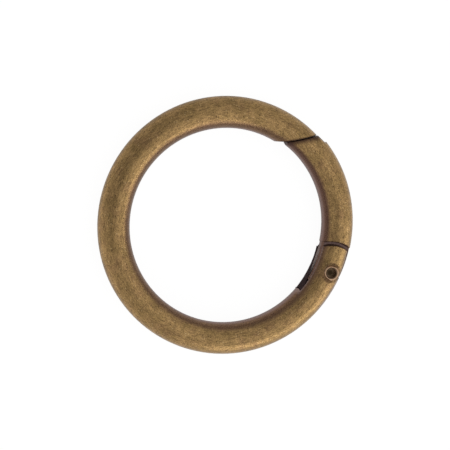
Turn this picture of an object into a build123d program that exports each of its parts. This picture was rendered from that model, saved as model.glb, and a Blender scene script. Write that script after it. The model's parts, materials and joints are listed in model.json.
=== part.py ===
from build123d import *

import os
from math import acos, asin, cos, degrees, radians, sin, sqrt, tan

# Spring gate ring: a cast round-wire ring with a sprung gate that opens into the eye.
# The ring lies flat in XY with its centre at the origin, and angles run from +X towards +Y.
# Lengths are in millimetres and angles in degrees.

# Ring
EYE_DIAMETER = 25.0
WIRE_DIAMETER = 4.1

# Hinge: the pin's place, the round end of the fork and the slot between its cheeks
PIVOT_ANGLE = -24.8
PIVOT_OFFSET = 0.4
FORK_END_RADIUS = 3.58
FORK_ROUND = 0.12
SLOT_WIDTH = 2.3
SLOT_RUN = 3.6
SLOT_END_DEPTH = 1.1

# Pivot pin, with a hollow and a spot face at each end
PIN_DIAMETER = 1.9
PIN_WALL = 0.3
PIN_HOLLOW_DEPTH = 0.9
PIN_INSET = 0.06
PIN_EDGE_BEVEL = 0.1
PIN_SEAT_DIAMETER = 2.5
PIN_SEAT_DEPTH = 0.22

# Gate: its stance when shut, its swing, and the eye and tail of its tongue
GATE_OVERSWING = 1.5
GATE_OFFSET = 0.065
GATE_OPENING = 35.0
TONGUE_EYE_WALL = 0.35
TAIL_REACH = 2.95
TAIL_DIRECTION = 221.6
TAIL_ROUND = 0.3
SHOULDER_ROUND = 0.1

# Slanted faces where the gate meets the nose
JOINT_ANGLE = 49.15
JOINT_SLANT = 38.5
JOINT_ROUND = 0.06
TOE_REACH = 1.95
TOE_TURN = 12.0
TIP_REACH = 1.7
TIP_TRIM_ANGLE = 46.75
TIP_TRIM_RISE = 0.037
TIP_TRIM_LENGTH = 2.4
TIP_TRIM_RADIUS = 3.5

# Leaf spring
SPRING_THICKNESS = 0.1
SPRING_WIDTH = 0.7
SPRING_TIP_WIDTH = 0.3
SPRING_TAPER_LENGTH = 5.0
SPRING_BEND_RADIUS = 0.1
SPRING_PROUD = 0.09

# Clearances
JOINT_GAP = 0.13
HINGE_GAP = 0.49
PRESS_CLEARANCE = 0.015
RUNNING_CLEARANCE = 0.05
TONGUE_CLEARANCE = 0.15
TONGUE_INSET = 0.08
SWEEP_CLEARANCE = 0.12
STOP_MARGIN = 2.0
SPRING_CLEARANCE = 0.17
SPRING_TIP_CLEARANCE = 0.42
SPRING_SEAT_CLEARANCE = 0.02

# Sizes that follow from the ones above
wire_radius = WIRE_DIAMETER / 2
eye_radius = EYE_DIAMETER / 2
centre_radius = eye_radius + wire_radius
outer_radius = eye_radius + WIRE_DIAMETER
pivot_radius = centre_radius + PIVOT_OFFSET
pin_radius = PIN_DIAMETER / 2
cheek_height = sqrt(wire_radius**2 - PIVOT_OFFSET**2)
pin_height = cheek_height - PIN_INSET
shoulder_radius = FORK_END_RADIUS + HINGE_GAP
slot_end_angle = PIVOT_ANGLE - degrees(SLOT_RUN / eye_radius)
tongue_width = SLOT_WIDTH - 2 * TONGUE_CLEARANCE
tongue_eye_radius = pin_radius + TONGUE_EYE_WALL
tongue_inner_radius = eye_radius + SPRING_THICKNESS + SPRING_CLEARANCE

# Reach of the trimming cuts, and how far each arc of wire runs on past its trimmed end
trim = 1.5 * WIRE_DIAMETER
nose_run = degrees(WIRE_DIAMETER / centre_radius)
fork_run = degrees(2 * FORK_END_RADIUS / centre_radius)
tail_run = degrees(TAIL_REACH / eye_radius)
tongue_run = degrees(1.5 * shoulder_radius / centre_radius)


def polar(radius, angle):
    """Point at a radius and an angle about the origin."""
    return Vector(radius * cos(radians(angle)), radius * sin(radians(angle)), 0)


def section_plane(centre, angle):
    """Upright plane through a centre, its x direction pointing outwards at the angle."""
    return Plane(origin=centre, x_dir=polar(1, angle), z_dir=polar(1, angle - 90))


# At the pin, x points out of the ring and y runs along the wire towards the gate
pivot = polar(pivot_radius, PIVOT_ANGLE)
hinge_plane = Plane(origin=pivot, x_dir=polar(1, PIVOT_ANGLE), z_dir=(0, 0, 1))

# At the joint, x runs outwards along the slanted faces and y points into the nose
joint_centre = polar(centre_radius, JOINT_ANGLE)
joint_plane = Plane(origin=joint_centre, x_dir=polar(1, JOINT_ANGLE - JOINT_SLANT), z_dir=(0, 0, 1))

# The shut gate stands proud, offset at the pin and swung past flush, so its arc has its own centre
gate_centre = pivot - pivot.rotate(Axis.Z, -GATE_OVERSWING) + polar(GATE_OFFSET, PIVOT_ANGLE)

# The tail's flank touches the tongue's eye, and the slot repeats it at the end of the swing
tail_tip = polar(TAIL_REACH, TAIL_DIRECTION)
flank_angle = TAIL_DIRECTION + degrees(acos(tongue_eye_radius / TAIL_REACH))
sweep_radius = tongue_eye_radius + SWEEP_CLEARANCE
sweep_reach = TAIL_REACH + SWEEP_CLEARANCE
sweep_end = TAIL_DIRECTION + GATE_OPENING + STOP_MARGIN
stop_angle = sweep_end + degrees(acos(sweep_radius / sweep_reach))

# Cast ring with a slanted nose, and a fork whose slot takes the gate's tongue
with BuildPart() as ring_body:
    with BuildSketch(section_plane((0, 0, 0), JOINT_ANGLE - nose_run)):
        with Locations((centre_radius, 0)):
            Circle(wire_radius)
    revolve(axis=Axis.Z, revolution_arc=360 - JOINT_ANGLE + nose_run + PIVOT_ANGLE + fork_run)

    # Slanted nose, with a toe that turns back towards the eye
    with BuildSketch(joint_plane):
        with BuildLine():
            toe = Vector(-TOE_REACH, JOINT_GAP / 2)
            toe_end = toe + Vector(-2 * trim, 2 * trim * tan(radians(TOE_TURN)))
            Polyline(toe_end, toe, (trim, JOINT_GAP / 2), (trim, -trim), (toe_end.X, -trim), close=True)
        make_face()
    extrude(amount=WIRE_DIAMETER, both=True, mode=Mode.SUBTRACT)
    nose_faces = ring_body.faces().filter_by(GeomType.PLANE).sort_by_distance(joint_centre)[:2]
    fillet(nose_faces.edges(), JOINT_ROUND)

    # Fork end, round about the pin
    with BuildSketch(hinge_plane):
        Rectangle(2 * trim, 2 * trim, align=(Align.CENTER, Align.MIN))
        Circle(FORK_END_RADIUS, mode=Mode.SUBTRACT)
    extrude(amount=WIRE_DIAMETER, both=True, mode=Mode.SUBTRACT)
    fork_end = ring_body.faces().filter_by(GeomType.CYLINDER).sort_by_distance(pivot)[0]
    fillet(fork_end.edges(), FORK_ROUND)

    # Slot: open past the pin, round behind the tongue's eye, with room for the tail to swing
    with BuildSketch(hinge_plane):
        with Locations((0, -SWEEP_CLEARANCE)):
            Rectangle(2 * trim, 2 * trim, align=(Align.CENTER, Align.MIN))
        Circle(sweep_radius)
        with BuildLine():
            tail_sweep = CenterArc((0, 0), sweep_reach, 180, sweep_end - 180)
            Polyline(tail_sweep @ 1, polar(sweep_radius, stop_angle), (0, 0), tail_sweep @ 0)
        make_face()
    extrude(amount=SLOT_WIDTH / 2, both=True, mode=Mode.SUBTRACT)

    # Shallow end of the slot, which holds the foot of the spring
    with BuildSketch():
        with BuildLine():
            floor = CenterArc((0, 0), eye_radius + SLOT_END_DEPTH, PIVOT_ANGLE, slot_end_angle - PIVOT_ANGLE)
            mouth = CenterArc((0, 0), eye_radius - wire_radius, PIVOT_ANGLE, slot_end_angle - PIVOT_ANGLE)
            Line(floor @ 0, mouth @ 0)
            Line(floor @ 1, mouth @ 1)
        make_face()
    extrude(amount=SLOT_WIDTH / 2, both=True, mode=Mode.SUBTRACT)

    # Pin hole through both cheeks, with a spot face outside each
    with BuildSketch(hinge_plane):
        Circle(pin_radius + PRESS_CLEARANCE)
    extrude(amount=WIRE_DIAMETER, both=True, mode=Mode.SUBTRACT)
    for side in (1, -1):
        with BuildSketch(hinge_plane.offset(side * (cheek_height - PIN_SEAT_DEPTH))):
            Circle(PIN_SEAT_DIAMETER / 2)
        extrude(amount=side * wire_radius, mode=Mode.SUBTRACT)
ring_body.part.label = "ring_body"

# Gate: an arc of the same wire, with a flat tongue whose tail stops the swing
gate_axis = Axis(gate_centre, (0, 0, 1))
with BuildPart() as gate:
    with BuildSketch(section_plane(gate_centre, PIVOT_ANGLE)):
        with Locations((centre_radius, 0)):
            Circle(wire_radius)
    revolve(axis=gate_axis, revolution_arc=JOINT_ANGLE + nose_run - PIVOT_ANGLE)

    # Slanted tip
    with BuildSketch(joint_plane):
        with Locations((0, -JOINT_GAP / 2)):
            Rectangle(2 * trim, trim, align=(Align.CENTER, Align.MIN))
    extrude(amount=WIRE_DIAMETER, both=True, mode=Mode.SUBTRACT)
    tip_face = gate.faces().filter_by(GeomType.PLANE).sort_by_distance(joint_centre)[0]
    fillet(tip_face.edges(), JOINT_ROUND)

    # Shoulders, hollow about the pin
    with BuildSketch(hinge_plane):
        Circle(shoulder_radius)
    extrude(amount=WIRE_DIAMETER, both=True, mode=Mode.SUBTRACT)
    shoulders = gate.faces().filter_by(GeomType.CYLINDER).sort_by_distance(pivot)[0]
    fillet(shoulders.edges(), SHOULDER_ROUND)

    # Outside of the tip, trimmed down towards the ring's own outline
    with BuildSketch(section_plane((0, 0, 0), TIP_TRIM_ANGLE).offset(TIP_TRIM_LENGTH)):
        with Locations((outer_radius + TIP_TRIM_RISE - TIP_TRIM_RADIUS, 0)):
            Rectangle(2 * trim, 2 * wire_radius, align=(Align.MIN, Align.CENTER))
            Circle(TIP_TRIM_RADIUS, mode=Mode.SUBTRACT)
    extrude(amount=-2 * trim, mode=Mode.SUBTRACT)

    # Blunt inner end of the tip
    with BuildSketch(joint_plane):
        with Locations((-TIP_REACH, 0)):
            Rectangle(trim, trim, align=(Align.MAX, Align.CENTER))
    extrude(amount=WIRE_DIAMETER, both=True, mode=Mode.SUBTRACT)

    # Tongue between the shoulders
    with BuildSketch(section_plane(gate_centre, PIVOT_ANGLE - tail_run)):
        with Locations((centre_radius, 0)):
            Circle(wire_radius - TONGUE_INSET)
            Rectangle(WIRE_DIAMETER, tongue_width, mode=Mode.INTERSECT)
    revolve(axis=gate_axis, revolution_arc=tail_run + tongue_run)

    # Room for the spring along the inner edge of the tongue
    with BuildSketch():
        Circle(tongue_inner_radius)
        with Locations(pivot):
            Circle(shoulder_radius - SPRING_TIP_CLEARANCE / 2, mode=Mode.INTERSECT)
    extrude(amount=WIRE_DIAMETER, both=True, mode=Mode.SUBTRACT)

    # Below the pin only the tongue's eye and its tail are left
    with BuildSketch(hinge_plane):
        with BuildLine():
            eye = CenterArc((0, 0), tongue_eye_radius, 0, flank_angle - 360)
            tail = FilletPolyline(eye @ 1, tail_tip, (-2 * trim, 0), radius=TAIL_ROUND)
            Polyline(tail @ 1, (-2 * trim, -2 * trim), (2 * trim, -2 * trim), (2 * trim, 0), eye @ 0)
        make_face()
    extrude(amount=WIRE_DIAMETER, both=True, mode=Mode.SUBTRACT)

    # Running hole for the pin
    with BuildSketch(hinge_plane):
        Circle(pin_radius + RUNNING_CLEARANCE)
    extrude(amount=WIRE_DIAMETER, both=True, mode=Mode.SUBTRACT)
gate.part.label = "gate"

# Pivot pin, hollow at both ends
with BuildPart() as pivot_pin:
    with BuildSketch(hinge_plane):
        Circle(pin_radius)
    extrude(amount=pin_height, both=True)
    for side in (1, -1):
        with BuildSketch(hinge_plane.offset(side * pin_height)):
            Circle(pin_radius - PIN_WALL)
        extrude(amount=-side * PIN_HOLLOW_DEPTH, mode=Mode.SUBTRACT)
    rims = pivot_pin.edges().group_by(Axis.Z)
    chamfer(rims[0] + rims[-1], min(PIN_EDGE_BEVEL, 0.45 * PIN_WALL))
pivot_pin.part.label = "pivot_pin"

# Leaf spring: a strip along the mouth of the slot, with its foot turned into the slot's end
with BuildPart() as leaf_spring:
    strip_radius = eye_radius + SPRING_THICKNESS / 2 - SPRING_PROUD
    tip_distance = shoulder_radius - SPRING_TIP_CLEARANCE
    tip_cosine = (strip_radius**2 + pivot_radius**2 - tip_distance**2) / (2 * strip_radius * pivot_radius)
    tip_angle = PIVOT_ANGLE + degrees(acos(tip_cosine))
    foot_offset = SPRING_SEAT_CLEARANCE + SPRING_THICKNESS / 2
    foot_angle = slot_end_angle + degrees(foot_offset / eye_radius)
    foot_radius = eye_radius + SLOT_END_DEPTH - SPRING_SEAT_CLEARANCE
    bend_turn = degrees(asin(SPRING_BEND_RADIUS / (strip_radius + SPRING_BEND_RADIUS)))
    with BuildSketch():
        with BuildLine():
            strip = CenterArc((0, 0), strip_radius, tip_angle, foot_angle + bend_turn - tip_angle)
            bend = JernArc(strip @ 1, strip % 1, SPRING_BEND_RADIUS, 90 - bend_turn)
            Line(bend @ 1, polar(foot_radius, foot_angle))
        trace(line_width=SPRING_THICKNESS)
    extrude(amount=SPRING_WIDTH / 2, both=True)

    # Taper to the tip
    tip_plane = Plane(
        origin=polar(strip_radius, tip_angle),
        x_dir=polar(1, tip_angle + 90),
        z_dir=polar(1, tip_angle),
    )
    with BuildSketch(tip_plane):
        with BuildLine():
            Polyline(
                (-SPRING_TAPER_LENGTH, SPRING_WIDTH / 2),
                (SPRING_THICKNESS, SPRING_TIP_WIDTH / 2),
                (SPRING_THICKNESS, SPRING_WIDTH),
                (-SPRING_TAPER_LENGTH, SPRING_WIDTH),
                close=True,
            )
        make_face()
        mirror(about=Plane.XZ)
    extrude(amount=wire_radius, both=True, mode=Mode.SUBTRACT)
leaf_spring.part.label = "leaf_spring"

os.makedirs("parts", exist_ok=True)
for piece in (ring_body, gate, pivot_pin, leaf_spring):
    export_step(piece.part, f"parts/{piece.part.label}.step")
    print(piece.part.label, "volume", round(piece.part.volume, 3), "valid", piece.part.is_valid)
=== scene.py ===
# %% [markdown]
# # Spring gate ring in antique brass
# A spring gate ring joins straps, loops and chains. A cast ring of round wire has a mouth, a hinged gate
# closes it, and a thin leaf spring keeps the gate shut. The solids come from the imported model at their
# real size, so this lesson gives them their finish, makes the spring strip, and sets up a floor, light
# and a camera.

import json
import math

import bmesh
import bpy
from mathutils import Matrix, Vector


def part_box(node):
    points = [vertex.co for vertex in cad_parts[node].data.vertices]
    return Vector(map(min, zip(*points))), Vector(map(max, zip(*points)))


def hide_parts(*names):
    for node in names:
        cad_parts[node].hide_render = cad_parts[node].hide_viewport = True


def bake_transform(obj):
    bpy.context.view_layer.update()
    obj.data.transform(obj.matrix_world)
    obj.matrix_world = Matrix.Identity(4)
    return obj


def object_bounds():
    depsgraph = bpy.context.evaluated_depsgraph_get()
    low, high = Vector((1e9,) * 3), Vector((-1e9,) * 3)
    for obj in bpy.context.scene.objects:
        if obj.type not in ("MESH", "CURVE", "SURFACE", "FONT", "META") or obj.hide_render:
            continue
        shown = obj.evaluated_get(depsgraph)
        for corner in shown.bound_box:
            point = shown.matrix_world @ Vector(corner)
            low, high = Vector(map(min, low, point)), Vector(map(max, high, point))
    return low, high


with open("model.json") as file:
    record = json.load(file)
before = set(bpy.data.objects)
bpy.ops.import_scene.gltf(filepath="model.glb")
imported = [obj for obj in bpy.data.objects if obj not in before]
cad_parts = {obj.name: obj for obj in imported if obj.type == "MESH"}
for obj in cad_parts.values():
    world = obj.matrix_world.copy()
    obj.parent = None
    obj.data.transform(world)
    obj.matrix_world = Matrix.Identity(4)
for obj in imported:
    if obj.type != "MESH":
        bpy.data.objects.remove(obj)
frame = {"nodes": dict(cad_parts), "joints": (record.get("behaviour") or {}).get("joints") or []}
cad_low, cad_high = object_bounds()
nodes = frame["nodes"]
print("nodes:", ", ".join(sorted(nodes)))

# %% [markdown]
# ## Measures
# A finish that follows the object needs to know where the wire, the pin and the joint are. They could be
# typed in again, but a size that is read from the frame stays right when the solids change. Only what the
# frame doesn't tell is written down: the slant of the closing joint, how the gate is set, and the hinge's
# own sizes.

# %% Measures of the ring
MM = 0.001
JOINT_ANGLE = math.radians(49.15)
JOINT_SLANT = math.radians(38.5)
GATE_OVERSWING = math.radians(1.5)
GATE_OFFSET = 0.065 * MM
FORK_END_RADIUS = 3.58 * MM
SHOULDER_RADIUS = 4.07 * MM
PIN_SEAT_RADIUS = 1.25 * MM
SLOT_WIDTH = 2.3 * MM
TONGUE_WIDTH = 2.0 * MM


def polar(radius, angle):
    """Point at a radius and an angle round the ring's axis."""
    return Vector((radius * math.cos(angle), radius * math.sin(angle), 0))


ring_low, ring_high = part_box("ring_body")
pin_low, pin_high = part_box("pivot_pin")
hinge = next(joint for joint in frame["joints"] if joint["name"] == "gate_hinge")

wire_radius = ring_high.z
outer_radius = -ring_low.x
centre_radius = outer_radius - wire_radius
eye_radius = centre_radius - wire_radius
pin_axis = Vector(hinge["pos_m"])
pin_radius = (pin_high.x - pin_low.x) / 2
pin_angle = math.atan2(pin_axis.y, pin_axis.x)
ring_centre = Vector((0, 0, 0))
gate_turn = Matrix.Rotation(-GATE_OVERSWING, 3, "Z")
gate_centre = pin_axis - gate_turn @ pin_axis + polar(GATE_OFFSET, pin_angle)
print("wire %.2f mm, eye %.2f mm" % (2 * wire_radius / MM, 2 * eye_radius / MM))

# %% [markdown]
# ## Camera
# The picture is taken with a long lens from almost straight above, a little to the upper left. A camera
# can be turned by angles or aimed by a constraint. Here its three axes are worked out and put in its
# matrix, because then no roll is left open. The lens shift moves the ring less than a pixel, to where it
# stands in the picture.

# %% Camera
IMAGE_SIZE = 450
RING_CENTRE_PIXEL = (225.76, 225.45)
FOCAL_LENGTH_PIXELS = 1871.5
CAMERA_DISTANCE = 240.1 * MM
CAMERA_HEIGHT = math.radians(77.02)
CAMERA_TOWARDS = math.radians(157.54)
CLIP_START = 1 * MM


def direction(towards, height):
    """Unit vector at an angle round the ring's axis and an angle above the floor."""
    return polar(math.cos(height), towards) + Vector((0, 0, math.sin(height)))


camera_data = bpy.data.cameras.new("camera")
camera_data.lens = FOCAL_LENGTH_PIXELS * camera_data.sensor_width / IMAGE_SIZE
camera_data.shift_x = 0.5 - RING_CENTRE_PIXEL[0] / IMAGE_SIZE
camera_data.shift_y = RING_CENTRE_PIXEL[1] / IMAGE_SIZE - 0.5
camera_data.clip_start = CLIP_START

back = direction(CAMERA_TOWARDS, CAMERA_HEIGHT)
right = Vector((0, 1, 0)).cross(back).normalized()
up = back.cross(right)
camera_turn = Matrix((right, up, back)).transposed().to_4x4()
camera = bpy.data.objects.new("camera", camera_data)
camera.matrix_world = Matrix.Translation(back * CAMERA_DISTANCE) @ camera_turn
bpy.context.scene.collection.objects.link(camera)
bpy.context.scene.camera = camera
print("lens %.1f mm" % camera_data.lens)

# %% [markdown]
# ## Building nodes in code
# A material is a tree of nodes. Writing each node and link out by hand makes long scripts, so a few
# helpers do it. One feeds a socket with a link or a plain value, and the others return the output of a
# sum, of a soft step or of a mix of two colours.

# %% Helpers: values, steps and colours
def feed(tree, socket, value):
    """Link an output to a socket, or set the socket's own value."""
    if isinstance(value, bpy.types.NodeSocket):
        tree.links.new(value, socket)
    else:
        socket.default_value = value


def calc(tree, operation, *values):
    """Output of a Math node."""
    node = tree.nodes.new("ShaderNodeMath")
    node.operation = operation
    for socket, value in zip(node.inputs, values):
        feed(tree, socket, value)
    return node.outputs[0]


def combine(tree, operation, first, *others):
    """Output of one Math operation over several values, from left to right."""
    for other in others:
        first = calc(tree, operation, first, other)
    return first


def soft_step(tree, value, start, end):
    """0 before start, 1 after end, and a smooth rise between them."""
    node = tree.nodes.new("ShaderNodeMapRange")
    node.interpolation_type = "SMOOTHSTEP"
    for name, given in (("Value", value), ("From Min", start), ("From Max", end)):
        feed(tree, node.inputs[name], given)
    return node.outputs["Result"]


def rise(tree, value, start, end, share=1.0):
    """Soft step that rises from 0 to a share of 1."""
    return calc(tree, "MULTIPLY", soft_step(tree, value, start, end), share)


def fall(tree, value, start, end, share=1.0):
    """Soft step that falls from a share of 1 to 0."""
    return calc(tree, "SUBTRACT", share, rise(tree, value, start, end, share))


def blend_colours(tree, share, first, second):
    """First colour at share 0, second colour at share 1."""
    node = tree.nodes.new("ShaderNodeMix")
    node.data_type = "RGBA"
    sockets = {socket.identifier: socket for socket in node.inputs}
    feed(tree, sockets["Factor_Float"], share)
    feed(tree, sockets["A_Color"], first)
    feed(tree, sockets["B_Color"], second)
    return next(socket for socket in node.outputs if socket.identifier == "Result_Color")


print("helpers for values, steps and colours are ready")

# %% [markdown]
# ## Places in millimetres
# Marks on a small metal part are told in millimetres, while Blender counts in metres. The Object output
# of the Texture Coordinate node gives the place on the piece, which moves with it when the gate swings.
# Scaled once, it lets every pattern and every distance below be written in millimetres.

# %% Helpers: places, distances and noise
def join_vector(tree, x, y, z):
    """Vector from three values."""
    node = tree.nodes.new("ShaderNodeCombineXYZ")
    for socket, value in zip(node.inputs, (x, y, z)):
        feed(tree, socket, value)
    return node.outputs[0]


def place_in_mm(tree):
    """X, Y and Z outputs of the place on the object, in millimetres."""
    place = tree.nodes.new("ShaderNodeTexCoord")
    scale = tree.nodes.new("ShaderNodeVectorMath")
    scale.operation = "SCALE"
    tree.links.new(place.outputs["Object"], scale.inputs[0])
    scale.inputs["Scale"].default_value = 1 / MM
    parts = tree.nodes.new("ShaderNodeSeparateXYZ")
    tree.links.new(scale.outputs[0], parts.inputs[0])
    return parts.outputs


def place_in_steps(tree, size):
    """Place on the object as a vector, counted in steps of a size in millimetres."""
    share = calc(tree, "DIVIDE", 1.0, size)
    return join_vector(tree, *[calc(tree, "MULTIPLY", axis, share) for axis in place_in_mm(tree)])


def away_from(tree, centre_x, centre_y):
    """How far the place lies from a point, along X and along Y, in millimetres."""
    x, y, _ = place_in_mm(tree)
    return calc(tree, "SUBTRACT", x, centre_x), calc(tree, "SUBTRACT", y, centre_y)


def distance(tree, x, y):
    """Length of the way that goes x along and y across."""
    squares = [calc(tree, "MULTIPLY", side, side) for side in (x, y)]
    return calc(tree, "SQRT", calc(tree, "ADD", *squares))


def along(tree, x, y, way):
    """How far x and y reach in the direction of a way."""
    shares = [calc(tree, "MULTIPLY", side, part) for side, part in ((x, way.x), (y, way.y))]
    return calc(tree, "ADD", *shares)


def noise(tree, vector, turn, detail, rough=0.5):
    """Four-dimensional noise, from 0 to 1, at a scale of one feature a unit."""
    node = tree.nodes.new("ShaderNodeTexNoise")
    node.noise_dimensions = "4D"
    settings = {"Vector": vector, "W": turn, "Scale": 1.0, "Detail": detail, "Roughness": rough}
    for name, given in settings.items():
        feed(tree, node.inputs[name], given)
    return node.outputs[0]


print("helpers for places, distances and noise are ready")

# %% [markdown]
# ## Node groups
# The castings, the pin and the spring share their effects: grain, patina, and crevices darkened with patina
# and painted shade. Copied nodes would drift apart, so each effect is a node group, built once. A material
# places the group and gives it its own values.

# %% Helpers: node groups and materials
def new_group(name, inputs, outputs):
    """Shader node group with number sockets, with its input node's outputs and its output node's inputs."""
    group = bpy.data.node_groups.new(name, "ShaderNodeTree")
    for label, value in inputs.items():
        socket = group.interface.new_socket(label, in_out="INPUT", socket_type="NodeSocketFloat")
        socket.default_value = value
    for label in outputs:
        group.interface.new_socket(label, in_out="OUTPUT", socket_type="NodeSocketFloat")
    given = group.nodes.new("NodeGroupInput")
    result = group.nodes.new("NodeGroupOutput")
    return group, given.outputs, result.inputs


def use_group(tree, group, **values):
    """Place a group in a material with its own values, and return its outputs."""
    node = tree.nodes.new("ShaderNodeGroup")
    node.node_tree = group
    for label, value in values.items():
        feed(tree, node.inputs[label.replace("_", " ")], value)
    return node.outputs


def new_material(name):
    """Material with its node tree and its Principled shader."""
    material = bpy.data.materials.new(name)
    material.use_nodes = True
    return material, material.node_tree, material.node_tree.nodes["Principled BSDF"]


print("helpers for groups and materials are ready")

# %% [markdown]
# ## Place on the wire
# Most of the finish depends on where a spot lies on the round wire: whether it faces the eye or the
# outside, and how deep it lies under the skin of the wire. A UV map would be cut somewhere, so both are
# worked out from the place itself. The depth tells the skin from the faces that were cut into it: the
# joint, the slot and the hinge.

# %% Group: place on the wire
wire_place, given, result = new_group(
    "wire_place",
    {"Centre X": 0.0, "Centre Y": 0.0},
    ("Outwards", "Depth", "Height"),
)
z = place_in_mm(wire_place)["Z"]
from_axis = distance(wire_place, *away_from(wire_place, given["Centre X"], given["Centre Y"]))
past_core = calc(wire_place, "SUBTRACT", from_axis, centre_radius / MM)
outwards = calc(wire_place, "DIVIDE", past_core, wire_radius / MM)
upwards = calc(wire_place, "DIVIDE", z, wire_radius / MM)
under_skin = calc(wire_place, "SUBTRACT", 1.0, distance(wire_place, outwards, upwards))
feed(wire_place, result["Outwards"], outwards)
feed(wire_place, result["Depth"], calc(wire_place, "MULTIPLY", under_skin, wire_radius / MM))
feed(wire_place, result["Height"], calc(wire_place, "ABSOLUTE", z))
print("group", wire_place.name)

# %% [markdown]
# ## Brushed grain
# Before plating, such rings are tumbled and brushed along the wire, which leaves short fine lines round
# the ring. Stretched noise makes such lines. Round a ring it has to turn with the wire and meet itself
# without a seam, so the angle goes in as its cosine and sine, two of the four coordinates of the noise.

# %% Group: brushed grain
brushed_grain, given, result = new_group(
    "brushed_grain",
    {"Lines per mm": 5.0, "Line length mm": 1.5},
    ("Lines",),
)
x, y, z = place_in_mm(brushed_grain)
from_axis = distance(brushed_grain, x, y)
turns = calc(brushed_grain, "DIVIDE", centre_radius / MM, given["Line length mm"])
cosine, sine = [calc(brushed_grain, "DIVIDE", side, from_axis) for side in (x, y)]
across = join_vector(
    brushed_grain,
    calc(brushed_grain, "MULTIPLY", from_axis, given["Lines per mm"]),
    calc(brushed_grain, "MULTIPLY", z, given["Lines per mm"]),
    calc(brushed_grain, "MULTIPLY", cosine, turns),
)
around = calc(brushed_grain, "MULTIPLY", sine, turns)
feed(brushed_grain, result["Lines"], noise(brushed_grain, across, around, detail=2.0, rough=0.6))
print("group", brushed_grain.name)

# %% [markdown]
# ## Mottled patina
# Antique brass is brass that was darkened in a bath and rubbed bright again, so it is cloudy: gold where
# it was rubbed, olive and red brown where the dark bath stays. Two clouds of noise and a finer speckle
# give the masks. Each material mixes its own colours with them.

# %% Group: mottled patina
mottled_patina, given, result = new_group(
    "mottled_patina",
    {"Cloud mm": 2.0, "Speckle mm": 0.25, "Seed": 0.0},
    ("Olive", "Red", "Speckle"),
)


def cloud(size, seed_step, detail, low, high):
    """Noise of a size in millimetres, drawn out between two levels."""
    seed = calc(mottled_patina, "ADD", given["Seed"], seed_step)
    clouds = noise(mottled_patina, place_in_steps(mottled_patina, size), seed, detail)
    return soft_step(mottled_patina, clouds, low, high)


olive = cloud(given["Cloud mm"], seed_step=0.0, detail=3.0, low=0.38, high=0.66)
red = cloud(given["Cloud mm"], seed_step=7.3, detail=3.0, low=0.48, high=0.72)
speckle = cloud(given["Speckle mm"], seed_step=3.1, detail=1.0, low=0.35, high=0.7)
feed(mottled_patina, result["Olive"], olive)
feed(mottled_patina, result["Red"], red)
feed(mottled_patina, result["Speckle"], speckle)
print("group", mottled_patina.name)

# %% [markdown]
# ## Pits and flecks
# The casting has pin-point pits that hold the dark bath, and rubbing leaves bright flecks. Both are spots
# scattered over the surface. A Voronoi texture gives each cell a point and a random number. Spots are
# drawn round the points: cells with a low number get a pit, and cells with a high one a fleck.

# %% Group: pits and flecks
SPOT_CORE_SHARE = 0.5

pits_and_flecks, given, result = new_group(
    "pits_and_flecks",
    {"Cell mm": 0.5, "Spot mm": 0.07, "Pit share": 0.3, "Fleck share": 0.2},
    ("Pits", "Flecks"),
)
cells = pits_and_flecks.nodes.new("ShaderNodeTexVoronoi")
cells.inputs["Scale"].default_value = 1.0
feed(pits_and_flecks, cells.inputs["Vector"], place_in_steps(pits_and_flecks, given["Cell mm"]))
spot_size = calc(pits_and_flecks, "DIVIDE", given["Spot mm"], given["Cell mm"])
spot_core = calc(pits_and_flecks, "MULTIPLY", spot_size, SPOT_CORE_SHARE)
spot = fall(pits_and_flecks, cells.outputs["Distance"], spot_core, spot_size)
numbers = pits_and_flecks.nodes.new("ShaderNodeSeparateColor")
feed(pits_and_flecks, numbers.inputs[0], cells.outputs["Color"])
has_pit = calc(pits_and_flecks, "LESS_THAN", numbers.outputs[0], given["Pit share"])
fleck_level = calc(pits_and_flecks, "SUBTRACT", 1.0, given["Fleck share"])
has_fleck = calc(pits_and_flecks, "GREATER_THAN", numbers.outputs[0], fleck_level)
feed(pits_and_flecks, result["Pits"], calc(pits_and_flecks, "MULTIPLY", spot, has_pit))
feed(pits_and_flecks, result["Flecks"], calc(pits_and_flecks, "MULTIPLY", spot, has_fleck))
print("group", pits_and_flecks.name)

# %% [markdown]
# ## Crevice patina and painted shade
# Narrow places are darker: round the pin, in the hinge gap and along the closing joint. This is partly the
# dark bath, which can't be rubbed out of them, and partly painted shade. Ambient occlusion could find them,
# but it changes when the gate swings. The distances to the pin's axis and to the joint's plane don't, so
# the masks are drawn from those.

# %% Group: crevice patina and painted shade
JOINT_LINE_MM = 0.08

crevice_patina_and_shade, given, result = new_group(
    "crevice_patina_and_shade",
    {"Joint reach mm": 0.5},
    ("From pin", "Towards gate", "Joint"),
)
from_pin = away_from(crevice_patina_and_shade, *(pin_axis.xy / MM))
feed(crevice_patina_and_shade, result["From pin"], distance(crevice_patina_and_shade, *from_pin))
gate_way = polar(1, pin_angle + math.pi / 2)
feed(crevice_patina_and_shade, result["Towards gate"], along(crevice_patina_and_shade, *from_pin, gate_way))

# Mask along the closing joint: patina and painted shade on both castings.
joint_normal = polar(1, JOINT_ANGLE - JOINT_SLANT + math.pi / 2)
from_joint = away_from(crevice_patina_and_shade, *(polar(centre_radius, JOINT_ANGLE).xy / MM))
off_joint = calc(crevice_patina_and_shade, "ABSOLUTE", along(crevice_patina_and_shade, *from_joint, joint_normal))
near_joint = fall(crevice_patina_and_shade, off_joint, JOINT_LINE_MM, given["Joint reach mm"])
x, y, _ = place_in_mm(crevice_patina_and_shade)
joint_quarter = [calc(crevice_patina_and_shade, "GREATER_THAN", side, 0.0) for side in (x, y)]
feed(crevice_patina_and_shade, result["Joint"], combine(crevice_patina_and_shade, "MULTIPLY", near_joint, *joint_quarter))
print("group", crevice_patina_and_shade.name)
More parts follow.
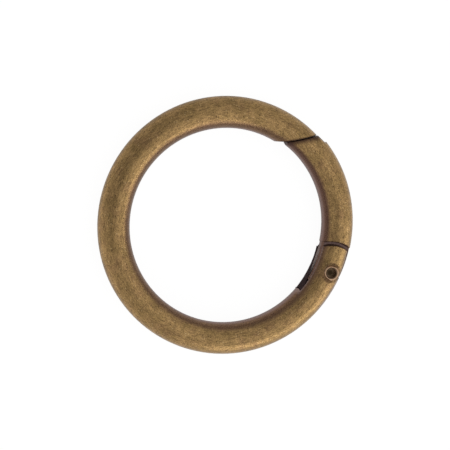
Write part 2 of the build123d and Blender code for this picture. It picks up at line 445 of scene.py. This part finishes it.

# %% [markdown]
# ## Marks of the hinge on the ring
# The fork of the ring is dark in the slot, round the pin and at its end, with patina and painted shade, and
# it has a painted highlight along the edges of the slot. Such marks could be painted by hand. Here they are
# masks from the distance to the pin, the depth under the skin and the height above the middle, so they
# follow the sizes above.

# %% Marks of the hinge on the ring
# A painted highlight lies along the edges of the slot, near the pin.
SLOT_EDGE_HIGHLIGHT = (0.360, 0.268, 0.255, 1)
SLOT_HIGHLIGHT_COVER = 0.6
SLOT_HIGHLIGHT_START_MM = 0.06
SLOT_HIGHLIGHT_END_MM = 0.24
SLOT_HIGHLIGHT_REACH_MM = (4.6, 5.4)
RING_CUT_DEPTH_MM = (0.08, 0.3)
RING_CUT_COVER = 0.7
SEAT_DIRT_INSIDE_MM = 0.1
SEAT_DIRT_OUTSIDE_MM = 0.25
FORK_RIM_MM = 0.2
FORK_PLAY_MM = 0.1
RIM_COVER = 0.6


def ring_marks(tree, place, crevice):
    """Masks of the patina and painted shade and of the painted highlight on the fork, and the highlight's
    colour.
    """
    fork_end = FORK_END_RADIUS / MM
    seat = PIN_SEAT_RADIUS / MM
    slot_edge = SLOT_WIDTH / MM / 2
    from_pin = crevice["From pin"]
    # Patina and painted shade in the cut faces, round the pin's seat and at the fork's end, next to the
    # gap.
    cut_face = rise(tree, place["Depth"], *RING_CUT_DEPTH_MM, RING_CUT_COVER)
    round_pin = fall(tree, from_pin, seat - SEAT_DIRT_INSIDE_MM, seat + SEAT_DIRT_OUTSIDE_MM, RIM_COVER)
    at_gate = calc(tree, "GREATER_THAN", crevice["Towards gate"], 0.0)
    on_fork = calc(tree, "LESS_THAN", from_pin, fork_end + FORK_PLAY_MM)
    fork_rim = rise(tree, from_pin, fork_end - FORK_RIM_MM, fork_end, RIM_COVER)
    at_end = combine(tree, "MULTIPLY", fork_rim, at_gate, on_fork)
    patina_and_shade = combine(tree, "MAXIMUM", cut_face, round_pin, at_end)
    # Painted highlight along the edges of the slot, fading away from the pin.
    near_slot = fall(tree, place["Height"], slot_edge + SLOT_HIGHLIGHT_START_MM, slot_edge + SLOT_HIGHLIGHT_END_MM)
    near_pin = fall(tree, from_pin, *SLOT_HIGHLIGHT_REACH_MM)
    return patina_and_shade, combine(tree, "MULTIPLY", near_slot, near_pin, SLOT_HIGHLIGHT_COVER), SLOT_EDGE_HIGHLIGHT


print("marks for the fork of the ring are ready")

# %% [markdown]
# ## Marks of the hinge on the gate
# The gate's tongue shows in the hinge gap as a bare grey band between two lines of painted shade, and the
# shoulders beside it are darkened with patina and painted shade. The tongue and the shoulders are one
# casting, so again no second material is needed: the tongue is what lies nearer to the pin than the
# shoulders do.

# %% Marks of the hinge on the gate
TONGUE_GREY = (0.155, 0.102, 0.092, 1)
TONGUE_EDGE_MM = 0.03
FLAT_TOLERANCE_MM = 0.02
SHOULDER_RIM_MM = 0.25
GATE_CUT_DEPTH_MM = (0.09, 0.25)
GATE_CUT_OUTWARDS = (-0.85, -0.5)
GAP_EDGE_SHARES = (0.1, 0.45)


def gate_marks(tree, place, crevice):
    """Masks of the patina and painted shade and of the bare tongue, and the colour of the tongue."""
    fork_end, shoulder = FORK_END_RADIUS / MM, SHOULDER_RADIUS / MM
    from_pin = crevice["From pin"]
    on_tongue = fall(tree, from_pin, shoulder - TONGUE_EDGE_MM, shoulder)
    at_flat = calc(tree, "COMPARE", place["Height"], TONGUE_WIDTH / MM / 2, FLAT_TOLERANCE_MM)
    on_flat = calc(tree, "MULTIPLY", on_tongue, at_flat)
    off_tongue = calc(tree, "SUBTRACT", 1.0, on_tongue)
    on_wire = calc(tree, "MULTIPLY", off_tongue, rise(tree, place["Outwards"], *GATE_CUT_OUTWARDS))
    # Patina and painted shade in the cut faces and on the shoulders, and painted shade at both edges of the
    # tongue's flat.
    cut_face = calc(tree, "MULTIPLY", rise(tree, place["Depth"], *GATE_CUT_DEPTH_MM), on_wire)
    shoulder_rim = fall(tree, from_pin, shoulder, shoulder + SHOULDER_RIM_MM, RIM_COVER)
    at_shoulder = calc(tree, "MULTIPLY", shoulder_rim, on_wire)
    off_middle = calc(tree, "ABSOLUTE", calc(tree, "SUBTRACT", from_pin, (fork_end + shoulder) / 2))
    gap_edge = rise(tree, off_middle, *[share * (shoulder - fork_end) for share in GAP_EDGE_SHARES])
    at_edge = calc(tree, "MULTIPLY", gap_edge, on_flat)
    return combine(tree, "MAXIMUM", cut_face, at_shoulder, at_edge), on_flat, TONGUE_GREY


print("marks for the tongue and shoulders of the gate are ready")

# %% [markdown]
# ## Antique brass
# The ring and the gate have the same finish: satin brass with a cloudy patina. The side that faces the eye
# is dark, partly patina where no brush reaches and partly painted shade of the shadowed sheet that it
# mirrors. The very inside has a paler line, a painted reflection of the white sheet, and the cut faces are
# darkest, with patina and painted shade. One function makes both materials from the groups. Each casting
# gets its own seed, inner band and marks, so the clouds don't run on from one to the other. A band is given
# by its start and end, in shares of the wire's radius from the middle of the wire inwards, and by how much
# it covers.

# %% Antique brass: colour
GOLD = (0.610, 0.382, 0.160, 1)
OLIVE = (0.375, 0.246, 0.090, 1)
RED_BROWN = (0.400, 0.225, 0.115, 1)
BRIGHT_FLECK = (0.750, 0.530, 0.270, 1)
PIT_BROWN = (0.070, 0.040, 0.022, 1)
# The dark inner band: partly patina, partly painted shade of the shadowed sheet that the eye mirrors.
INNER_PATINA_AND_SHADE = (0.143, 0.077, 0.062, 1)
# The pale line at the very inside is a painted reflection of the white sheet.
INNER_RIM_REFLECTION = (0.320, 0.208, 0.182, 1)
# Darkest tone of the cut faces, crevices and joint: patina and painted shade.
CREVICE_PATINA_AND_SHADE = (0.068, 0.034, 0.027, 1)
OLIVE_COVER = 0.45
RED_COVER = 0.45
LINE_COVER = 0.46
LINE_LEVELS = (0.4, 0.65)
SPECKLE_COVER = 0.47
PIT_COVER = 0.7
FLECK_COVER = 0.6
PATINA_AND_SHADE_COVER = 0.9
INNER_REFLECTION_BAND = (0.88, 0.985, 0.8)


def brass_colour(tree, place, grain, patina, spots, inner_patina_and_shade):
    """Gold with clouds, lines and spots, an inner band of patina and painted shade, and a painted
    reflection line.
    """
    inwards = calc(tree, "MULTIPLY", place["Outwards"], -1.0)
    tones = (
        (calc(tree, "MULTIPLY", patina["Olive"], OLIVE_COVER), OLIVE),
        (calc(tree, "MULTIPLY", patina["Red"], RED_COVER), RED_BROWN),
        (rise(tree, grain, *LINE_LEVELS, LINE_COVER), PIT_BROWN),
        (calc(tree, "MULTIPLY", patina["Speckle"], SPECKLE_COVER), PIT_BROWN),
        (calc(tree, "MULTIPLY", spots["Pits"], PIT_COVER), PIT_BROWN),
        (calc(tree, "MULTIPLY", spots["Flecks"], FLECK_COVER), BRIGHT_FLECK),
        (rise(tree, inwards, *inner_patina_and_shade), INNER_PATINA_AND_SHADE),
        (rise(tree, inwards, *INNER_REFLECTION_BAND), INNER_RIM_REFLECTION),
    )
    colour = GOLD
    for share, tone in tones:
        colour = blend_colours(tree, share, colour, tone)
    return colour


print("colour of antique brass is ready")

# %% [markdown]
# ## Finishing the castings
# Rubbed metal shines, and patina hardly does. The grain and the mask of patina and painted shade therefore
# drive the roughness as well as the colour, and a Bump node lets the grain and the pits catch the light.
# Cutting them into the mesh would need millions of faces for lines a tenth of a millimetre wide.

# %% Antique brass for the ring and the gate
BRASS_ROUGHNESS = 0.2
GRAIN_ROUGHNESS = 0.14
PATINA_AND_SHADE_ROUGHNESS = 0.2
RELIEF_STRENGTH = 0.35
RELIEF_DEPTH = 0.03 * MM


def antique_brass(name, centre, hinge_marks, inner_patina_and_shade, joint_reach, seed):
    """Brushed brass with patina, with patina and painted shade at the hinge and the joint, and the hinge's
    tone.
    """
    material, tree, shader = new_material(name)
    place = use_group(tree, wire_place, Centre_X=centre.x / MM, Centre_Y=centre.y / MM)
    grain = use_group(tree, brushed_grain, Lines_per_mm=8.0, Line_length_mm=0.55)["Lines"]
    patina = use_group(tree, mottled_patina, Cloud_mm=1.3, Speckle_mm=0.12, Seed=seed)
    spots = use_group(tree, pits_and_flecks, Cell_mm=0.35, Spot_mm=0.1, Pit_share=0.35, Fleck_share=0.3)
    crevice = use_group(tree, crevice_patina_and_shade, Joint_reach_mm=joint_reach)

    hinge_patina_and_shade, bare_tongue_and_highlight, bare_tongue_and_highlight_colour = hinge_marks(tree, place, crevice)
    # Patina and painted shade at the hinge and along the closing joint.
    patina_and_shade = calc(tree, "MAXIMUM", hinge_patina_and_shade, crevice["Joint"])
    colour = brass_colour(tree, place, grain, patina, spots, inner_patina_and_shade)
    # Painted highlight on the ring's slot edges, bare grey tongue on the gate.
    colour = blend_colours(tree, bare_tongue_and_highlight, colour, bare_tongue_and_highlight_colour)
    colour = blend_colours(tree, calc(tree, "MULTIPLY", patina_and_shade, PATINA_AND_SHADE_COVER), colour, CREVICE_PATINA_AND_SHADE)
    feed(tree, shader.inputs["Base Color"], colour)

    rough = calc(tree, "ADD", calc(tree, "MULTIPLY", grain, GRAIN_ROUGHNESS), BRASS_ROUGHNESS)
    rough = calc(tree, "ADD", rough, calc(tree, "MULTIPLY", patina_and_shade, PATINA_AND_SHADE_ROUGHNESS))
    feed(tree, shader.inputs["Roughness"], rough)
    shader.inputs["Metallic"].default_value = 1.0
    relief = tree.nodes.new("ShaderNodeBump")
    relief.inputs["Strength"].default_value = RELIEF_STRENGTH
    relief.inputs["Distance"].default_value = RELIEF_DEPTH
    height = calc(tree, "SUBTRACT", calc(tree, "ADD", grain, patina["Speckle"]), spots["Pits"])
    feed(tree, relief.inputs["Height"], height)
    feed(tree, shader.inputs["Normal"], relief.outputs[0])
    return material


def finish_node(name, material):
    """Give a CAD node one material on all its faces."""
    mesh = nodes[name].data
    mesh.materials.clear()
    mesh.materials.append(material)
    print(name, "is finished in", material.name)


finish_node("ring_body", antique_brass(
    "antique_brass_ring", ring_centre, ring_marks,
    inner_patina_and_shade=(0.43, 0.74, 0.7), joint_reach=0.32, seed=0.0))
finish_node("gate", antique_brass(
    "antique_brass_gate", gate_centre, gate_marks,
    inner_patina_and_shade=(0.56, 0.8, 0.92), joint_reach=0.85, seed=21.7))

# %% [markdown]
# ## Pivot pin
# The pin is a short tube end, riveted over: its rim is rubbed to a coppery shine, and its hollow has
# painted shade, almost black in the middle and browner towards its wall. A second material slot would need
# faces picked by hand, so one material tells rim and hollow apart by their distance from the pin's axis.

# %% Pivot pin
RIM_COPPER = (0.600, 0.390, 0.250, 1)
# The hollow is painted shade: black in the middle, browner towards its wall.
HOLLOW_WALL_SHADE = (0.240, 0.160, 0.100, 1)
HOLLOW_DEEP_SHADE = (0.040, 0.026, 0.014, 1)
RIM_WIDTH_MM = 0.23
RIM_BRIGHT_MM = 0.11
HOLLOW_CORE_MM = 0.2
RIM_RED_COVER = 0.6
PIN_ROUGHNESS = 0.25
PIN_SPECKLE_ROUGHNESS = 0.15


def riveted_pin(name):
    """Coppery rim round a hollow with painted shade, darkest in the middle."""
    material, tree, shader = new_material(name)
    from_pin = use_group(tree, crevice_patina_and_shade)["From pin"]
    patina = use_group(tree, mottled_patina, Cloud_mm=0.6, Speckle_mm=0.2, Seed=40.0)
    rim_start = pin_radius / MM - RIM_WIDTH_MM
    on_rim = soft_step(tree, from_pin, rim_start, pin_radius / MM - RIM_BRIGHT_MM)
    rim = blend_colours(tree, calc(tree, "MULTIPLY", patina["Red"], RIM_RED_COVER), RIM_COPPER, RED_BROWN)
    up_wall = soft_step(tree, from_pin, HOLLOW_CORE_MM, rim_start)
    hollow = blend_colours(tree, up_wall, HOLLOW_DEEP_SHADE, HOLLOW_WALL_SHADE)
    feed(tree, shader.inputs["Base Color"], blend_colours(tree, on_rim, hollow, rim))
    speckle = calc(tree, "MULTIPLY", patina["Speckle"], PIN_SPECKLE_ROUGHNESS)
    feed(tree, shader.inputs["Roughness"], calc(tree, "ADD", speckle, PIN_ROUGHNESS))
    shader.inputs["Metallic"].default_value = 1.0
    return material


finish_node("pivot_pin", riveted_pin("riveted_pin"))

# %% [markdown]
# ## Leaf spring: its line
# The spring is a strip of steel along the mouth of the slot. Its foot is turned into the slot's end, and
# its tip leans on the gate. It is a mesh of many short lengths from the ring to the gate. First come the
# stations along it, from the tip to the foot.

# %% Stations along the spring
SPRING_THICKNESS = 0.1 * MM
SPRING_BEND = 0.1 * MM
SPRING_PROUD = 0.09 * MM
SPRING_TIP_ANGLE = math.radians(-13.36)
SPRING_FOOT_ANGLE = math.radians(-40.98)
SPRING_FOOT_RADIUS = 13.58 * MM
STRIP_STEPS = 60
BEND_STEPS = 8

strip_radius = eye_radius + SPRING_THICKNESS / 2
bend_turn = math.asin(SPRING_BEND / (strip_radius + SPRING_BEND))
strip_end_angle = SPRING_FOOT_ANGLE + bend_turn


def spring_stations():
    """Points along the strip from its tip to its foot, each with the direction across its thickness."""
    stations = []
    for step in range(STRIP_STEPS + 1):
        share = step / STRIP_STEPS
        angle = SPRING_TIP_ANGLE + (strip_end_angle - SPRING_TIP_ANGLE) * share
        stations.append((polar(strip_radius - SPRING_PROUD * (1 - share), angle), polar(1, angle)))
    bend_centre = polar(strip_radius + SPRING_BEND, strip_end_angle)
    for step in range(1, BEND_STEPS + 1):
        turn = (math.pi / 2 - bend_turn) * step / BEND_STEPS
        across = Matrix.Rotation(-turn, 3, "Z") @ polar(1, strip_end_angle)
        stations.append((bend_centre - across * SPRING_BEND, across))
    stations.append((polar(SPRING_FOOT_RADIUS, SPRING_FOOT_ANGLE), stations[-1][1]))
    return stations


stations = spring_stations()
print("spring has", len(stations), "stations")

# %% [markdown]
# ## Leaf spring: its section
# The strip fills the slot at its foot and tapers to a narrow tip. A flat strip would leave black corners
# beside the round cheeks of the slot, so its section is bowed like the skin of the wire. The long edges
# are broken, as sheet is after tumbling, so that they catch a little light.

# %% Section of the spring
SPRING_WIDTH = 2.1 * MM
SPRING_TIP_WIDTH = 0.3 * MM
SPRING_TAPER = 5.2 * MM
SPRING_EDGE = 0.02 * MM
BOW_STEPS = 5


def bow_of_wire(height):
    """How far the skin of the wire falls back at a height above its middle."""
    return wire_radius - math.sqrt(wire_radius ** 2 - height ** 2)


def half_width_at(run):
    """Half the width of the strip at a length from its tip."""
    taper = min(run / SPRING_TAPER, 1.0)
    return (SPRING_TIP_WIDTH + (SPRING_WIDTH - SPRING_TIP_WIDTH) * taper ** 2) / 2


def strip_section(half_width):
    """Outline of the strip's section, as pairs of the way across its thickness and the height."""
    half_thick = SPRING_THICKNESS / 2
    heights = [(half_width - SPRING_EDGE) * step / BOW_STEPS for step in range(BOW_STEPS + 1)]
    edge = bow_of_wire(half_width)
    outer = [(bow_of_wire(height) + half_thick, height) for height in heights]
    outer.append((edge + half_thick - SPRING_EDGE, half_width))
    inner = [(bow_of_wire(height) - half_thick, height) for height in heights]
    inner.append((edge - half_thick + SPRING_EDGE, half_width))
    upper = outer + inner[::-1]
    return upper + [(way, -height) for way, height in upper[::-1] if height > 0]


print("section has", len(strip_section(SPRING_WIDTH / 2)), "points")

# %% [markdown]
# ## Leaf spring: the strip
# A ring of points at each station and faces between neighbouring rings make a closed strip. It replaces
# the plain solid of the imported model.

# %% Spring strip
def strip_mesh(name, stations):
    """Closed strip through the stations."""
    mesh = bpy.data.meshes.new(name)
    made = bmesh.new()
    rings = []
    run = 0.0
    before = stations[0][0]
    for point, across in stations:
        run += (point - before).length
        before = point
        section = strip_section(half_width_at(run))
        places = [point + across * way + Vector((0, 0, height)) for way, height in section]
        rings.append([made.verts.new(place) for place in places])
    for first, second in zip(rings, rings[1:]):
        for i in range(len(first)):
            j = (i + 1) % len(first)
            made.faces.new((first[i], first[j], second[j], second[i]))
    made.faces.new(rings[0])
    made.faces.new(list(reversed(rings[-1])))
    bmesh.ops.recalc_face_normals(made, faces=made.faces)
    made.to_mesh(mesh)
    made.free()
    return mesh


spring = bpy.data.objects.new("spring_strip", strip_mesh("spring_strip", stations))
bpy.context.scene.collection.objects.link(spring)
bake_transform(spring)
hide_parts("leaf_spring")
print("spring strip has", len(spring.data.polygons), "faces")

# %% [markdown]
# ## Dark spring steel
# Spring steel is hardened and tempered, which leaves it a dark, matt oxide skin. The metal hardly shows,
# so the shader isn't metallic here: it is a dark, rough surface with a weak shine, a little clouded by
# the patina group.

# %% Dark spring steel
STEEL = (0.058, 0.034, 0.035, 1)
STEEL_OXIDE = (0.040, 0.023, 0.024, 1)
STEEL_ROUGHNESS = 0.65
STEEL_GRAIN_ROUGHNESS = 0.2
STEEL_SHINE = 0.15


def spring_steel(name):
    """Dark tempered steel with a cloudy oxide."""
    material, tree, shader = new_material(name)
    patina = use_group(tree, mottled_patina, Cloud_mm=0.8, Speckle_mm=0.15, Seed=60.0)
    grain = use_group(tree, brushed_grain, Lines_per_mm=8.0, Line_length_mm=3.0)["Lines"]
    feed(tree, shader.inputs["Base Color"], blend_colours(tree, patina["Olive"], STEEL, STEEL_OXIDE))
    rough = calc(tree, "ADD", calc(tree, "MULTIPLY", grain, STEEL_GRAIN_ROUGHNESS), STEEL_ROUGHNESS)
    feed(tree, shader.inputs["Roughness"], rough)
    shader.inputs["Metallic"].default_value = 0.0
    shader.inputs["Specular IOR Level"].default_value = STEEL_SHINE
    return material


spring.data.materials.append(spring_steel("spring_steel"))
print("spring strip is finished in", spring.data.materials[0].name)

# %% [markdown]
# ## White sheet
# The ring lies on a white sheet. A white floor that is lit like the ring comes out grey, and more light
# would burn the brass out. So for rays from the camera, and for those that the metal mirrors, the sheet
# is part lamp: it glows, and the part that is still lit by the lamps keeps a faint shadow of the ring.
# What the metal mirrors is less white, and dimmer towards the upper left, where the sheet lies away from
# the lamps.

# %% Material of the sheet
SHEET_WHITE = (0.9, 0.9, 0.9, 1)
SEEN_GLOW = 0.95
SEEN_LIT = (0.11, 0.11, 0.11, 1)
MIRRORED_GLOW = 0.2
MIRRORED_LIT = (0.95, 0.95, 0.95, 1)
MIRRORED_DIM = (0.58, 0.58, 0.58, 1)
DIM_TOWARDS = math.radians(112)
DIM_REACH_MM = (9.0, 26.0)


def part_lamp(tree, glow_strength, lit_colour):
    """Sum of a glow and of a matt white that is lit by the lamps."""
    glow = tree.nodes.new("ShaderNodeEmission")
    glow.inputs["Strength"].default_value = glow_strength
    lit = tree.nodes.new("ShaderNodeBsdfDiffuse")
    feed(tree, lit.inputs["Color"], lit_colour)
    both = tree.nodes.new("ShaderNodeAddShader")
    feed(tree, both.inputs[0], glow.outputs[0])
    feed(tree, both.inputs[1], lit.outputs[0])
    return both.outputs[0]


def choose_shader(tree, share, first, second):
    """First shader at share 0, second shader at share 1."""
    choice = tree.nodes.new("ShaderNodeMixShader")
    for socket, value in zip(choice.inputs, (share, first, second)):
        feed(tree, socket, value)
    return choice.outputs[0]


def white_sheet(name):
    """White sheet that glows for camera and mirrored rays, with a share that takes the shadow."""
    material, tree, shader = new_material(name)
    tree.nodes.remove(shader)
    rays = tree.nodes.new("ShaderNodeLightPath").outputs
    plain = tree.nodes.new("ShaderNodeBsdfDiffuse")
    plain.inputs["Color"].default_value = SHEET_WHITE
    x, y, _ = place_in_mm(tree)
    on_dim_side = soft_step(tree, along(tree, x, y, polar(1, DIM_TOWARDS)), *DIM_REACH_MM)
    mirrored = part_lamp(tree, MIRRORED_GLOW, blend_colours(tree, on_dim_side, MIRRORED_LIT, MIRRORED_DIM))
    surface = choose_shader(tree, rays["Is Glossy Ray"], plain.outputs[0], mirrored)
    seen = calc(tree, "MAXIMUM", rays["Is Camera Ray"], rays["Is Transmission Ray"])
    surface = choose_shader(tree, seen, surface, part_lamp(tree, SEEN_GLOW, SEEN_LIT))
    feed(tree, tree.nodes["Material Output"].inputs["Surface"], surface)
    return material


sheet_material = white_sheet("white_sheet")
print("material", sheet_material.name)

# %% [markdown]
# ## Floor
# The sheet is a large disc under the ring, at the lowest point of the solids. A plane would do as well,
# but a disc has no corner that could show in the metal.

# %% Floor
FLOOR_RADIUS = 3.0

floor_mesh = bpy.data.meshes.new("floor")
made = bmesh.new()
bmesh.ops.create_circle(made, cap_ends=True, radius=FLOOR_RADIUS, segments=64)
made.to_mesh(floor_mesh)
made.free()
floor = bpy.data.objects.new("floor", floor_mesh)
floor.location.z = cad_low.z
bpy.context.scene.collection.objects.link(floor)
floor_mesh.materials.append(sheet_material)
print("floor at %.2f mm" % (floor.location.z / MM))

# %% [markdown]
# ## Soft boxes
# A round metal wire is a mirror of the room, so the light is what gives it form. A large soft box stands
# low at the lower right, and a smaller, weaker one hangs high on the same side. Area lamps give soft
# shadows for little noise. Their power follows from their size, so that a larger box isn't a brighter
# one.

# %% Soft boxes
LAMP_DISTANCE = 0.45
KEY_TOWARDS = math.radians(-47)
KEY_HEIGHT = math.radians(14)
KEY_SIZE = (0.8, 0.32)
KEY_RADIANCE = 1.0
TOP_TOWARDS = math.radians(-30)
TOP_HEIGHT = math.radians(62)
TOP_SIZE = (0.4, 0.25)
TOP_RADIANCE = 0.27


def soft_box(name, towards, height, size, radiance):
    """Area lamp that looks at the ring; its power gives it the wanted radiance."""
    data = bpy.data.lights.new(name, "AREA")
    data.shape = "RECTANGLE"
    data.size, data.size_y = size
    data.energy = radiance * math.pi * size[0] * size[1]
    lamp = bpy.data.objects.new(name, data)
    away = direction(towards, height)
    lamp.location = away * LAMP_DISTANCE
    lamp.rotation_euler = away.to_track_quat("Z", "Y").to_euler()
    bpy.context.scene.collection.objects.link(lamp)
    print(name, "%.2f W" % data.energy)


soft_box("key_soft_box", KEY_TOWARDS, KEY_HEIGHT, KEY_SIZE, KEY_RADIANCE)
soft_box("top_soft_box", TOP_TOWARDS, TOP_HEIGHT, TOP_SIZE, TOP_RADIANCE)

# %% [markdown]
# ## Room
# The rest of the light is a plain grey room, made by the world. An even grey would leave the metal flat,
# so two parts of the room are darker: one overhead on the side where the camera stands, and a wide one
# low at the upper left. Each is given by where it is, by its core and reach, all in degrees, and by how
# much it takes away.

# %% Grey room
ROOM_GREY = 0.59
ROOM_SHADES = (
    {"towards": 157, "height": 66, "core": 12, "reach": 26, "amount": 0.27},
    {"towards": 128, "height": 0, "core": 20, "reach": 75, "amount": 0.2},
)


def room_shade(tree, looking, towards, height, core, reach, amount):
    """How much light a darker part of the room takes away from what is seen when looking that way."""
    facing = tree.nodes.new("ShaderNodeVectorMath")
    facing.operation = "DOT_PRODUCT"
    feed(tree, facing.inputs[0], looking)
    feed(tree, facing.inputs[1], direction(math.radians(towards), math.radians(height)))
    start, end = math.cos(math.radians(reach)), math.cos(math.radians(core))
    return rise(tree, facing.outputs["Value"], start, end, amount)


world = bpy.data.worlds.new("grey_room")
world.use_nodes = True
tree = world.node_tree
looking = tree.nodes.new("ShaderNodeTexCoord").outputs["Generated"]
shades = [room_shade(tree, looking, **shade) for shade in ROOM_SHADES]
light = combine(tree, "SUBTRACT", ROOM_GREY, *shades)
feed(tree, tree.nodes["Background"].inputs["Color"], light)
bpy.context.scene.world = world
bpy.context.scene.view_settings.view_transform = "Standard"
print("room", world.name, "with", len(shades), "darker parts")
